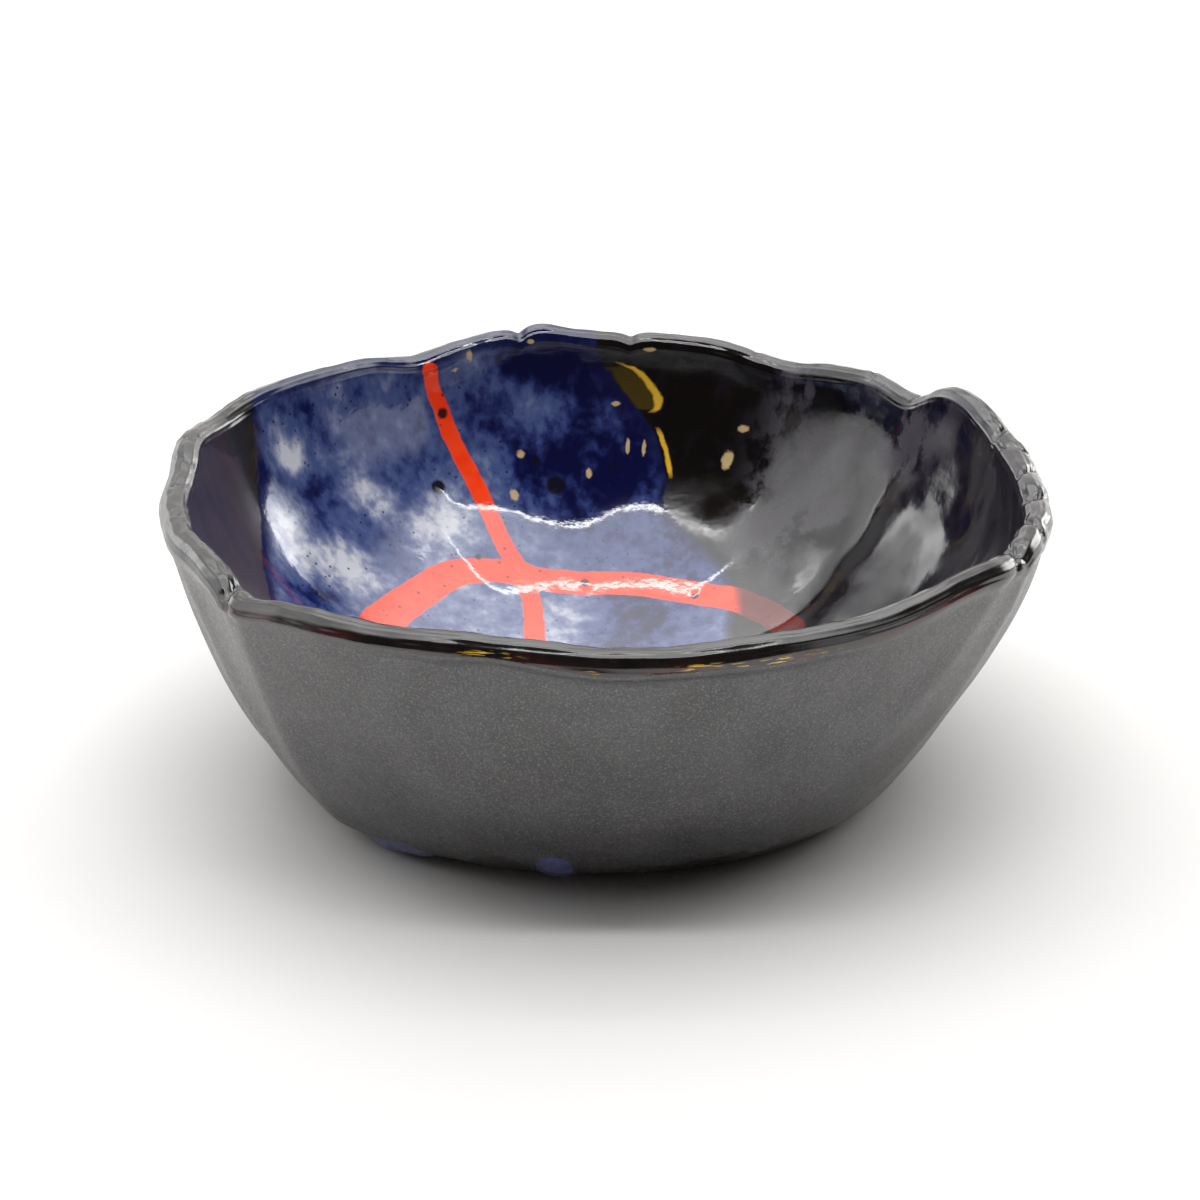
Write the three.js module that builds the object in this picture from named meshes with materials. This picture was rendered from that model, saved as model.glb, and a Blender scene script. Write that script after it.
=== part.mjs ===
// A hand-pinched tea bowl: one hollow clay piece with a wavy, nicked lip, folded walls and a flat underside.
import * as THREE from 'three';

// Driving dimensions in millimetres. Angles are in degrees, anticlockwise from +X, so the front is at 270.
const RIM_RADIUS = 65.0;
const RIM_HEIGHT = 44.4;
const RIM_TILT = 0.9; // the back of the rim stands this much above its middle
const BASE_RADIUS = 40.0;
const WALL_POWER = 2.1; // how late the wall turns up from the base
const LIP_WIDTH = 4.4;
const LIP_BEAD = 0.5; // how far the lip stands out over the wall just below it
const FLOOR_RADIUS = 9.0; // flat middle of the floor, from which the inside curves up
const FLOOR_HEIGHT = 5.0; // thickness of the clay under the floor
const INNER_LEAN = 6; // how far from upright the inside is at the lip, in degrees round its oval curve
const INNER_FOLLOW = 0.6; // share of a fold that shows on the inside too
const RIDGE_SOFTNESS = 0.35; // how rounded the top of a fold is

// Shares of the wall, from the base at 0 to the lip at 1.
const FOLDS_START = 0.15; // the folds fade in up to here, so that the base stays round
const NECK_START = 0.3; // the wall draws in under the lip from here
const NECK_TIGHTEST = 0.9;

// Rises and dips along the rim.
const RIM_SWELLS = [
  { at: 172, rise: 2.0, width: 6 },
  { at: 150, rise: 0.9, width: 7 },
  { at: 119, rise: -1.7, width: 4 },
  { at: 101, rise: 1.6, width: 5 },
  { at: 61, rise: -2.5, width: 6 },
  { at: 49, rise: -0.8, width: 5 },
  { at: 38, rise: -2.3, width: 3.5 },
  { at: 25, rise: 2.2, width: 6 },
  { at: 222, rise: -1.2, width: 4 },
  { at: 256, rise: 1.3, width: 10 },
  { at: 294, rise: 0.5, width: 7 },
  { at: 318, rise: 0.8, width: 8 },
];

// Places where the rim is pinched in or pushed out of round.
const RIM_PINCHES = [
  { at: 180, rise: -1.3, width: 6 },
  { at: 203, rise: -0.9, width: 8 },
  { at: 342, rise: 0.5, width: 9 },
];

// Nicks across the lip: two at the back, and the corner cracks at the left and the right.
const NICKS = [
  { at: 102.5, depth: 1.3, width: 1.2 },
  { at: 85.5, depth: 0.8, width: 1.0 },
  { at: 218.5, depth: 0.8, width: 1.2 },
  { at: 333, depth: 0.9, width: 1.2 },
];

// Folds that lean up the wall: angle at the rim and at the base, height, and where on the wall each is highest.
const FOLDS = [
  { rim: 222, base: 222, rise: 1.6, width: 4.5, share: 0.8, reach: 0.35 },
  { rim: 202, base: 229, rise: 0.9, width: 3.5, share: 0.8, reach: 0.2 },
  { rim: 199, base: 196, rise: 0.8, width: 3.0, share: 0.7, reach: 0.25 },
  { rim: 184, base: 187, rise: 1.0, width: 3.5, share: 0.45, reach: 0.25 },
  { rim: 327, base: 264, rise: 1.0, width: 4.0, share: 0.8, reach: 0.2 },
  { rim: 335, base: 296, rise: 1.0, width: 3.5, share: 0.78, reach: 0.2 },
  { rim: 347, base: 336, rise: 0.8, width: 3.0, share: 0.72, reach: 0.22 },
  { rim: 358, base: 346, rise: 1.0, width: 4.0, share: 0.35, reach: 0.2 },
  { rim: 62, base: 58, rise: 1.0, width: 5.0, share: 0.6, reach: 0.3 },
  { rim: 120, base: 124, rise: 0.9, width: 5.0, share: 0.6, reach: 0.3 },
];

// Broad swells and hollows of the wall between the folds.
const WALL_SWELLS = [
  { at: 226, share: 0.28, rise: 1.5, width: 12, reach: 0.12 },
  { at: 345, share: 0.5, rise: -2.3, width: 16, reach: 0.2 },
  { at: 342, share: 0.88, rise: 0.9, width: 9, reach: 0.12 },
];

// Grid of the surface.
const EVEN_ANGLES = 108;
const OUTER_ROWS = 13;
const LIP_ROWS = 6;
const INNER_ROWS = 15;
const NICK_CLEARANCE = 1.5; // even steps closer to a nick than this many of its widths are left out

const OUTSIDE_GLAZE = new THREE.MeshStandardMaterial({ color: 0x4c4a4b, roughness: 0.5, metalness: 0 });

function total(list, valueOf) {
  return list.reduce((sum, item) => sum + valueOf(item), 0);
}

// Signed angle from one direction to another, -180 to 180.
function away(theta, at) {
  return THREE.MathUtils.euclideanModulo(theta - at + 180, 360) - 180;
}

function bump(x, width) {
  return Math.exp(-0.5 * (x / width) ** 2);
}

// A narrower crest than a bump's, with longer flanks.
function ridge(x, width) {
  return Math.exp(RIDGE_SOFTNESS - Math.hypot(x / width, RIDGE_SOFTNESS));
}

// Height of the middle of the lip, from which its round top is drawn.
function lipCentreHeight(theta) {
  const tilt = RIM_TILT * Math.sin(THREE.MathUtils.degToRad(theta));
  const swells = total(RIM_SWELLS, (s) => s.rise * bump(away(theta, s.at), s.width));
  const nicks = total(NICKS, (n) => n.depth * ridge(away(theta, n.at), n.width));
  return RIM_HEIGHT + tilt + swells - nicks - LIP_WIDTH / 2;
}

function rimRadius(theta) {
  return RIM_RADIUS + total(RIM_PINCHES, (p) => p.rise * bump(away(theta, p.at), p.width));
}

// How far the folds and swells push the wall out at one place.
function relief(theta, share) {
  const folds = total(FOLDS, (f) => {
    const crest = THREE.MathUtils.lerp(f.base, f.rim, share);
    return f.rise * ridge(away(theta, crest), f.width) * bump(share - f.share, f.reach);
  });
  const swells = total(WALL_SWELLS, (s) =>
    s.rise * bump(away(theta, s.at), s.width) * bump(share - s.share, s.reach));
  return (folds + swells) * THREE.MathUtils.smoothstep(share, 0, FOLDS_START);
}

// Each of the next three gives a point of the section as radius and height.
function outerWall(theta, share) {
  const neck = THREE.MathUtils.smoothstep(share, NECK_START, NECK_TIGHTEST)
    * (1 - THREE.MathUtils.smoothstep(share, NECK_TIGHTEST, 1));
  const radius = THREE.MathUtils.lerp(BASE_RADIUS, rimRadius(theta), share);
  return [radius + relief(theta, share) - LIP_BEAD * neck, lipCentreHeight(theta) * share ** WALL_POWER];
}

function lip(theta, turn) {
  const [outerRadius, height] = outerWall(theta, 1);
  const half = LIP_WIDTH / 2;
  const angle = Math.PI * turn;
  return [outerRadius - half + half * Math.cos(angle), height + half * Math.sin(angle)];
}

function innerWall(theta, share) {
  const [outerRadius, top] = outerWall(theta, 1);
  const lean = THREE.MathUtils.degToRad(INNER_LEAN);
  const turn = THREE.MathUtils.lerp(Math.PI / 2, lean, share);
  const across = (outerRadius - LIP_WIDTH - FLOOR_RADIUS) / Math.cos(lean);
  const deep = (top - FLOOR_HEIGHT) / (1 - Math.sin(lean));
  const height = FLOOR_HEIGHT + deep * (1 - Math.sin(turn));
  const outerShare = (height / top) ** (1 / WALL_POWER);
  const follow = INNER_FOLLOW * (relief(theta, outerShare) - relief(theta, 1) * outerShare);
  return [FLOOR_RADIUS + across * Math.cos(turn) + follow * share, height];
}

// The section at one angle, from the edge of the base, over the lip and down to the floor.
function section(theta) {
  const points = [];
  for (let i = 0; i < OUTER_ROWS; i++) points.push(outerWall(theta, i / OUTER_ROWS));
  for (let i = 0; i < LIP_ROWS; i++) points.push(lip(theta, i / LIP_ROWS));
  for (let i = 0; i < INNER_ROWS; i++) points.push(innerWall(theta, 1 - i / INNER_ROWS));
  points.push([FLOOR_RADIUS, FLOOR_HEIGHT]);
  return points;
}

// Even steps round the bowl, with three more at each nick to keep it sharp.
function gridAngles() {
  const even = Array.from({ length: EVEN_ANGLES }, (_, i) => (i * 360) / EVEN_ANGLES);
  const nicks = NICKS.flatMap((n) => [n.at - n.width, n.at, n.at + n.width]);
  const clear = even.filter((a) => NICKS.every((n) => Math.abs(away(a, n.at)) > NICK_CLEARANCE * n.width));
  return [...clear, ...nicks].sort((a, b) => a - b);
}

function bowlGeometry() {
  const angles = gridAngles();
  const rows = section(0).length;
  const positions = [];
  for (const theta of angles) {
    const direction = THREE.MathUtils.degToRad(theta);
    for (const [radius, height] of section(theta)) {
      positions.push(radius * Math.cos(direction), radius * Math.sin(direction), height);
    }
  }
  const baseCentre = positions.length / 3;
  const floorCentre = baseCentre + 1;
  positions.push(0, 0, 0, 0, 0, FLOOR_HEIGHT);

  const faces = [];
  for (let i = 0; i < angles.length; i++) {
    const here = i * rows;
    const next = ((i + 1) % angles.length) * rows;
    for (let row = 0; row < rows - 1; row++) {
      faces.push(here + row, next + row, next + row + 1);
      faces.push(here + row, next + row + 1, here + row + 1);
    }
    faces.push(baseCentre, next, here);
    faces.push(floorCentre, here + rows - 1, next + rows - 1);
  }

  const geometry = new THREE.BufferGeometry();
  geometry.setAttribute('position', new THREE.Float32BufferAttribute(positions, 3));
  geometry.setIndex(faces);
  geometry.computeVertexNormals();
  return geometry;
}

// The origin is on the underside, at the middle of the bowl's outline.
function centreOnBase(geometry) {
  geometry.computeBoundingBox();
  const middle = geometry.boundingBox.getCenter(new THREE.Vector3());
  return geometry.translate(-middle.x, -middle.y, 0);
}

const bowl = new THREE.Mesh(centreOnBase(bowlGeometry()), OUTSIDE_GLAZE);
bowl.name = 'bowl';

const teaBowl = new THREE.Group();
teaBowl.add(bowl);

export default teaBowl;
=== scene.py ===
"""Looks of a hand-pinched tea bowl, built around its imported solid.

The bowl's shape is worked out in millimetres, and in degrees anticlockwise from +X, so the front is at 270.
"""

import math

import bpy
import numpy as np
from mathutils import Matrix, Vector, noise


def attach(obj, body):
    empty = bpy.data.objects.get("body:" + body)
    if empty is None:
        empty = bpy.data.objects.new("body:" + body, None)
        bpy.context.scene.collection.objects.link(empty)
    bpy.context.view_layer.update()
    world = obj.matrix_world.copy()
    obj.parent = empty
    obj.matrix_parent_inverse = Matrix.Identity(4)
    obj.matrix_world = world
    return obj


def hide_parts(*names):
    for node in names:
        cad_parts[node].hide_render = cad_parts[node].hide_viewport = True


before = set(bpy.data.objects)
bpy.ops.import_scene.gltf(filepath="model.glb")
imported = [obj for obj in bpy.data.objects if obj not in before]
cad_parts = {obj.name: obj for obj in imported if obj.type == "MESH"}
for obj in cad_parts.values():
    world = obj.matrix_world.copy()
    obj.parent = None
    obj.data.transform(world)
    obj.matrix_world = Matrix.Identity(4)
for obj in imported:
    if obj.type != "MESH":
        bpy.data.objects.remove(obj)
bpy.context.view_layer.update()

MM = 0.001
NOWHERE = -99.0  # value of a glaze field far from its glaze

# Driving dimensions of the bowl, the same as the solid's
RIM_RADIUS = 65.0
RIM_HEIGHT = 44.4
RIM_TILT = 0.9
BASE_RADIUS = 40.0
WALL_POWER = 2.1
LIP_WIDTH = 4.4
LIP_BEAD = 0.35
FLOOR_RADIUS = 9.0
FLOOR_HEIGHT = 5.0
INNER_LEAN = 6.0
INNER_FOLLOW = 0.6
RIDGE_SOFTNESS = 0.35
FOLDS_START = 0.15
NECK_START = 0.3
NICK_FADE = 14

# The lip is rolled over: how far its edge hangs, over what height it tucks in, and how far it leans out
ROLL_HEIGHT = 0.9
ROLL_TUCK = 1.3
ROLL_LEAN = 12.0
ROLL_PLAIN = 0.45
ROLL_BOLDEST = 272
ROLL_SPREAD = 32

# Rises and dips along the rim: angle, rise, half-width in degrees
RIM_SWELLS = [
    (172, 2.0, 6), (150, 0.9, 7), (119, -1.7, 4), (101, 1.6, 5), (61, -2.5, 6), (49, -0.8, 5),
    (38, -2.3, 3.5), (25, 2.2, 6), (222, -1.2, 4), (256, 1.3, 10), (294, 0.5, 7), (318, 0.8, 8),
]
# Places where the rim is pinched in or pushed out of round: angle, rise, half-width in degrees
RIM_PINCHES = [(180, -1.3, 6), (203, -0.9, 8), (342, 0.5, 9)]
# Nicks across the lip: angle, depth, half-width in degrees
NICKS = [(102.5, 1.3, 1.2), (85.5, 0.8, 1.0), (218.5, 0.8, 1.2), (333, 0.9, 1.2)]
# Folds of the wall: angle at the rim, angle at the base, rise, half-width, share where highest, reach
FOLDS = [
    (222, 222, 1.6, 4.5, 0.80, 0.35),
    (202, 229, 0.9, 3.5, 0.80, 0.20),
    (199, 196, 0.8, 3.0, 0.70, 0.25),
    (184, 187, 1.0, 3.5, 0.45, 0.25),
    (327, 264, 1.0, 4.0, 0.80, 0.20),
    (335, 296, 1.0, 3.5, 0.78, 0.20),
    (347, 336, 0.8, 3.0, 0.72, 0.22),
    (358, 346, 1.0, 4.0, 0.35, 0.20),
    (62, 58, 1.0, 5.0, 0.60, 0.30),
    (120, 124, 0.9, 5.0, 0.60, 0.30),
]
# Broad swells of the wall: angle, share of the wall, rise, half-width, reach
WALL_SWELLS = [(226, 0.28, 1.5, 12, 0.12), (345, 0.50, -2.3, 16, 0.20), (342, 0.88, 0.9, 9, 0.12)]

# Waves of the rolled edge: angle, drop, half-width in degrees
ROLL_WAVES = [
    (251, 0.3, 2.5), (258, -0.6, 4), (270, 0.5, 5), (291, 0.6, 4), (304, 0.6, 5), (315, -0.7, 5),
    (324, -0.4, 6), (236, -1.0, 9), (222, -0.9, 6),
]

# Grid of the visible mesh
ANGLES = 512
BASE_ROWS = 5
OUTER_ROWS = 50
LIP_ROWS = 40
INNER_ROWS = 90
FLOOR_ROWS = 3
ROW_CROWDING = 1.5

# Hand-worked relief: size across and height, in millimetres
OUTER_WAVES = [(26.0, 0.55), (9.0, 0.26)]
INNER_DIMPLES = [(22.0, 0.20), (7.0, 0.04)]
RIGHT_DIMPLES = [(11.0, 0.40), (5.0, 0.12), (2.5, 0.03)]
LIP_LUMPS = [(7.0, 0.30), (2.6, 0.14), (1.3, 0.03)]
RIGHT_BEADS = [(5.0, 0.80), (2.2, 0.12)]
LEFT_PEBBLES = [(2.0, 0.26), (1.1, 0.12)]
# Fine ridges along the lip: spacing and height in millimetres, and how far they wander
LIP_RIDGES = (1.15, 0.035)
RIDGE_WANDER = 0.35
# Where the relief belongs, in millimetres from the top of the lip
LIP_REACH = 3.0
OUTSIDE_STARTS = (4.0, 9.0)
INSIDE_STARTS = (2.0, 8.0)
INNER_STARTS = -0.8
# Lively parts of the wall and lip: angle, half-width in degrees, and reach in mm on the lip
RIGHT_WALL = (25, 30)
RIGHT_LIP = (2, 22, 2.5)
LEFT_LIP = (214, 26, 2.2)
# Places where the inner wall leans in or out a little: angle, height, degrees, half-width, reach in mm
WALL_TILTS = [
    (96, 18, 4.5, 5, 7), (114, 20, -3.5, 9, 8), (82, 19, -2.5, 6, 8), (66, 16, 4.0, 6, 6),
    (97, 8, 4.0, 7, 4), (66, 12, -4.0, 8, 4),
]
# Cracks across the lip: angle, lean in degrees per mm, then mm of half-width, depth, reach outside and inside
CRACKS = [
    (218.5, 0.5, 0.55, 0.9, 5.0, 3.0),
    (333.0, -0.8, 0.55, 0.9, 5.0, 3.0),
    (14.5, 0.6, 0.60, 0.9, 3.5, 3.0),
    (9.0, -0.6, 0.60, 0.9, 3.5, 3.0),
    (1.0, 0.8, 0.60, 1.0, 4.0, 3.0),
    (352.0, 0.5, 0.60, 0.9, 4.0, 3.0),
    (342.0, -0.7, 0.60, 1.0, 4.0, 3.0),
    (171.0, 0.6, 0.40, 0.5, 3.0, 2.5),
    (178.0, -0.6, 0.45, 0.5, 3.5, 2.5),
    (185.0, 0.6, 0.40, 0.4, 3.0, 2.5),
    (195.0, 0.4, 0.40, 0.4, 3.0, 2.5),
    (46.0, 0.4, 0.40, 0.5, 2.5, 2.0),
    (37.0, -0.4, 0.40, 0.5, 2.5, 2.0),
    (66.0, 0.3, 0.40, 0.4, 2.5, 2.0),
]

# Glaze areas. Places inside are polar: angle, radius.
BANDS = [
    # stripe down the back wall and over the floor
    {"path": [(117.7, 62.0), (117.2, 60.4), (116.2, 59.2), (115.3, 57.2), (114.2, 55.1), (113.0, 52.5),
              (112.2, 49.4), (111.5, 45.8), (110.8, 42.9), (109.7, 38.8), (109.4, 34.4), (111.2, 29.8),
              (114.1, 25.8), (140.0, 12.0), (250.0, 9.0)], "wide": (1.3, 1.8)},
    # stripe round the back of the floor, to the right
    {"path": [(109.0, 38.0), (101.2, 36.5), (94.2, 36.1), (86.1, 36.0), (77.7, 35.8), (70.5, 35.9),
              (63.3, 36.4), (55.8, 36.7), (48.4, 36.3), (40.2, 36.1), (32.3, 35.2)], "wide": (2.5, 2.5)},
    # stripe round the back of the floor, to the left
    {"path": [(109.0, 38.6), (115.6, 40.2), (119.5, 41.0), (123.9, 41.3), (128.7, 40.8), (134.2, 40.0),
              (140.4, 39.3), (146.2, 38.8), (152.0, 38.5), (160.0, 38.0)], "wide": (2.4, 3.4)},
]
BLUE_EDGE = [
    (150.0, 67.0), (151.3, 63.3), (154.2, 60.2), (156.2, 58.7), (159.7, 56.5), (165.5, 53.7),
    (172.0, 51.3), (177.5, 49.0), (185.0, 41.0), (195.0, 32.0), (215.0, 25.0), (250.0, 20.0),
    (300.0, 18.0), (355.0, 18.0), (30.0, 23.0), (46.9, 30.3), (51.2, 33.8), (56.0, 38.0), (60.6, 41.7),
    (65.6, 43.5), (70.6, 45.5), (75.0, 47.2), (77.8, 49.1), (77.8, 51.6), (79.2, 54.3), (81.2, 56.6),
    (83.4, 57.7), (86.1, 59.0), (88.3, 60.0), (90.4, 60.8), (94.0, 67.0), (123.0, 72.0),
]
# Painted amber reflection of a warm thing along the edge of the blue: height, half-height and width of
# its wide olive part and of a thin sliver below it, and the angle and half-width in degrees that it keeps to
AMBER_REFLECTION_WIDE = (36.8, 3.7, 1.7)
AMBER_SLIVER = (27.4, 3.6, 0.6)
AMBER_MIDDLE = (82, 5.0)
# Painted tan glints in the glaze, standing for reflections of a warm thing in its dimples: angle, radius,
# half-width, half-height
TAN_GLINTS = [
    (110.9, 60.8, 0.7, 1.5), (113.3, 60.5, 1.1, 0.6), (101.1, 60.9, 0.8, 0.5), (104.1, 54.3, 1.0, 0.8),
    (106.5, 50.2, 1.0, 1.1), (92.2, 52.2, 0.7, 1.1), (85.4, 55.1, 0.5, 1.6), (82.6, 55.0, 0.5, 1.5),
    (87.5, 58.3, 1.1, 0.6), (66.2, 58.0, 1.3, 0.8), (82.3, 60.6, 1.5, 0.5), (67.8, 55.1, 1.3, 1.8),
]
# How far through the wall a painted tan glint reaches
GLINT_REACH = 6.0
# Pale clouds and deep pools in the blue glaze: angle, radius, size, strength
PALE_CLOUDS = [
    (147.2, 58.3, 3.5, 1.5), (154.0, 54.6, 3.5, 1.2), (124.5, 48.7, 4, 1.3), (154.9, 50.4, 4, 1.2),
    (149.0, 46.5, 5, 1.4), (135.1, 54.7, 4, 1.0), (132.4, 52.9, 3.5, 0.9), (101.1, 58.4, 4, 0.7),
    (125.9, 36.1, 7, 0.7), (133.8, 60.9, 4, 0.6), (101.9, 28.1, 6, 0.9), (116.1, 48.6, 4, 0.8),
    (200, 30, 9, 0.6), (250, 18, 9, 0.5),
]
COBALT_POOLS = [
    (154.8, 57.8, 3.5, 1.0), (144.2, 55.8, 4, 0.8), (126.6, 55.0, 4.5, 0.7), (131.4, 60.2, 4, 0.5),
    (141.6, 60.3, 4, 0.6), (94.9, 59.8, 9, 1.0), (90.2, 53.7, 7, 1.0), (102.3, 52.6, 4, 0.8),
    (97.1, 47.7, 5, 0.6), (158.9, 46.4, 4, 0.8), (139.1, 46.7, 4, 0.5), (76.6, 27.5, 8, 1.0),
    (102.8, 60.3, 6, 0.9), (82.9, 51.7, 6, 1.0), (108.0, 57.5, 4, 0.6), (70.0, 40.0, 5, 0.5),
]
# Pits in the glaze: angle, radius, half-width, depth
PITS = [
    (116.1, 59.0, 1.1, 0.12), (119.7, 53.4, 1.5, 0.16), (98.4, 50.7, 2.0, 0.16),
    (94.2, 36.3, 1.0, 0.10), (65.0, 35.7, 0.8, 0.08), (101.7, 53.3, 0.8, 0.08),
    (117.6, 43.1, 0.7, 0.08), (88.0, 53.0, 0.7, 0.08),
]
# Where the satin glaze reaches over the lip and inside: angle, millimetres, half-width
SATIN_INSIDE = [(158, 6.5, 6), (182, 2.5, 12)]
SATIN_LIP = (186, 17)
# Satin patch on the right inside, its lighter grey painted in for the sheen it reflects: two heights, angles
# of its right edge there, and angle of its left edge
GREY_HEIGHTS = (14, 40)
GREY_RIGHT_EDGE = (47, 22)
GREY_LEFT_EDGE = 68
# Violet glaze on both sides: middle and half-width in degrees, height where it starts, strength
VIOLET_INSIDE = [(352, 46, 10, 0.45), (196, 42, 9, 1.0)]
# Painted gold glints under the lip at the front, standing for reflections of a warm thing: angle, half-width
GOLD_GLINT_PLACES = [(257, 2.0), (269.5, 0.8), (281, 1.6), (290, 4.0)]
GLOSS_UNDER = 0.1
# Glaze drips on the foot: angle, share of the wall, half-width, half-height, thickness
DRIPS = [(262.5, 0.30, 2.7, 5.2, 0.8), (234.0, 0.24, 6.2, 2.6, 0.6), (229.0, 0.20, 3.0, 2.4, 0.6)]
FOOT_PATCHES = [(253.5, 0.28, 5.0, 4.5), (287, 0.27, 11, 4.0), (240, 0.20, 9, 2.4), (302, 0.28, 8, 3.5)]

# Camera, from the ellipses of the rim and base, for a square frame of this many pixels
IMAGE_PX = 1200
FOCAL_PX = 3011
CAMERA_ELEVATION = 23.157
CAMERA_DISTANCE = 450.0
CAMERA_TARGET = (-0.8, 0.0, 23.8)


def display(red, green, blue):
    """A colour given as it shows on a screen, 0 to 255, as the linear values that a shader takes."""
    values = [channel / 255 for channel in (red, green, blue)]
    linear = [v / 12.92 if v <= 0.04045 else ((v + 0.055) / 1.055) ** 2.4 for v in values]
    return (*linear, 1.0)


def away(theta, at):
    return (theta - at + 180) % 360 - 180


def bump(x, width):
    return np.exp(-0.5 * (x / width) ** 2)


def ridge(x, width):
    return np.exp(RIDGE_SOFTNESS - np.hypot(x / width, RIDGE_SOFTNESS))


def smooth(x, low, high):
    t = np.clip((x - low) / (high - low), 0, 1)
    return t * t * (3 - 2 * t)


# Shape of the bowl
def smooth_rim(theta):
    """Height of the middle of the lip, without its nicks."""
    height = RIM_HEIGHT + RIM_TILT * np.sin(np.radians(theta)) - LIP_WIDTH / 2
    return height + sum(rise * bump(away(theta, at), width) for at, rise, width in RIM_SWELLS)


def nick_depth(theta):
    return sum(depth * ridge(away(theta, at), width) for at, depth, width in NICKS)


def lip_centre_height(theta):
    return smooth_rim(theta) - nick_depth(theta)


def rim_radius(theta):
    return RIM_RADIUS + sum(rise * bump(away(theta, at), width) for at, rise, width in RIM_PINCHES)


def relief(theta, share):
    push = sum(
        rise * ridge(away(theta, base + (rim - base) * share), width) * bump(share - highest, reach)
        for rim, base, rise, width, highest, reach in FOLDS
    )
    push = push + sum(
        rise * bump(away(theta, at), width) * bump(share - highest, reach)
        for at, highest, rise, width, reach in WALL_SWELLS
    )
    return push * smooth(share, 0, FOLDS_START)


def roll_strength(theta):
    """How boldly the lip is rolled over: fully at the front, and less elsewhere."""
    return ROLL_PLAIN + (1 - ROLL_PLAIN) * bump(away(theta, ROLL_BOLDEST), ROLL_SPREAD)


def roll_lean(theta):
    """Angle from upright of the roll's face, in radians."""
    return np.radians(ROLL_LEAN) * bump(away(theta, ROLL_BOLDEST), ROLL_SPREAD)


def roll_height(theta):
    """How far the rolled edge hangs below the round of the lip."""
    waves = sum(rise * bump(away(theta, at), width) for at, rise, width in ROLL_WAVES)
    return np.maximum(ROLL_HEIGHT + waves, 0)


def outer_wall(theta, share):
    half = LIP_WIDTH / 2
    lean = roll_lean(theta)
    rim = rim_radius(theta)
    top = smooth_rim(theta) + half * np.sin(lean)
    height = top * share ** WALL_POWER
    drop = top - height
    tuck = smooth(drop, roll_height(theta), roll_height(theta) + ROLL_TUCK)
    bold = roll_strength(theta)
    wall = BASE_RADIUS + (rim - BASE_RADIUS) * share - LIP_BEAD * bold * tuck * smooth(share, NECK_START, 1)
    face = rim - half * (1 - np.cos(lean)) + np.tan(lean) * drop
    radius = wall + (face - wall) * bold * (1 - tuck) + relief(theta, share)
    return radius, height - nick_depth(theta) * share ** NICK_FADE


def lip_centre(theta):
    return rim_radius(theta) + relief(theta, 1.0) - LIP_WIDTH / 2, lip_centre_height(theta)


def lip(theta, turn):
    radius, height = lip_centre(theta)
    angle = roll_lean(theta) + (np.pi - roll_lean(theta)) * turn
    return radius + LIP_WIDTH / 2 * np.cos(angle), height + LIP_WIDTH / 2 * np.sin(angle)


def inner_curve(theta):
    """The oval that the inside follows: its half-width, its depth, and the angle where the lip begins."""
    radius, top = lip_centre(theta)[0], smooth_rim(theta)
    lean = math.radians(INNER_LEAN)
    across = (radius - LIP_WIDTH / 2 - FLOOR_RADIUS) / math.cos(lean)
    return across, (top - FLOOR_HEIGHT) / (1 - math.sin(lean)), lean


def inner_wall(theta, share):
    across, deep, lean = inner_curve(theta)
    turn = math.pi / 2 + (lean - math.pi / 2) * share
    height = FLOOR_HEIGHT + deep * (1 - np.sin(turn))
    outer_share = (height / smooth_rim(theta)) ** (1 / WALL_POWER)
    follow = INNER_FOLLOW * (relief(theta, outer_share) - relief(theta, 1.0) * outer_share)
    radius = FLOOR_RADIUS + across * np.cos(turn) + follow * share
    return radius, height - nick_depth(theta) * share ** NICK_FADE


def steps(count):
    return np.arange(count)[None, :] / count


def grid_angles():
    """Angles round the bowl, closer together at the back and where the lip is nicked or cracked."""
    fine = np.arange(0, 360, 0.1)
    places = [at for at, *_ in NICKS + CRACKS]
    crowding = 1 + 0.8 * bump(away(fine, 105), 40) + sum(1.6 * bump(away(fine, at), 2.0) for at in places)
    total = np.cumsum(crowding)
    return np.interp(np.arange(ANGLES) / ANGLES * total[-1], total, fine)


def bowl_grid(theta):
    """Radius and height of every grid point, from the middle of the base, over the lip, to the floor's."""
    flat = np.zeros_like(theta)
    sections = [
        (BASE_RADIUS * (steps(BASE_ROWS)[:, 1:]) + flat, flat + 0 * steps(BASE_ROWS)[:, 1:]),
        outer_wall(theta, 1 - (1 - steps(OUTER_ROWS)) ** ROW_CROWDING),
        lip(theta, steps(LIP_ROWS)),
        inner_wall(theta, 1 - steps(INNER_ROWS)),
        (FLOOR_RADIUS * (1 - steps(FLOOR_ROWS)) + flat, FLOOR_HEIGHT + flat + 0 * steps(FLOOR_ROWS)),
    ]
    radius = np.concatenate([r for r, _ in sections], axis=1)
    height = np.concatenate([h for _, h in sections], axis=1)
    return radius, height


def to_points(theta, radius, height):
    angle = np.radians(theta)
    return np.stack([radius * np.cos(angle), radius * np.sin(angle), height + 0 * angle], axis=-1)


def grid_normals(points):
    round_the_bowl = np.roll(points, -1, axis=0) - np.roll(points, 1, axis=0)
    along_the_section = np.gradient(points, axis=1)
    normals = np.cross(round_the_bowl, along_the_section)
    return normals / np.linalg.norm(normals, axis=-1, keepdims=True)


def profile_level(radius, height):
    """Millimetres along the section from the top of the lip: positive outside, negative inside."""
    pieces = np.hypot(np.diff(radius, axis=1), np.diff(height, axis=1))
    run = np.concatenate([np.zeros_like(pieces[:, :1]), np.cumsum(pieces, axis=1)], axis=1)
    crown = BASE_ROWS - 1 + OUTER_ROWS + LIP_ROWS // 2
    return run[:, crown:crown + 1] - run


def lumps(points, size, seed):
    """Smooth noise between about -1 and 1, with features of one size, the same on every run."""
    shift = Vector((31.7, 17.3, 7.9)) * seed
    flat = points.reshape(-1, 3) / size
    return np.array([noise.noise(Vector(p) + shift) for p in flat]).reshape(points.shape[:-1])


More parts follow.
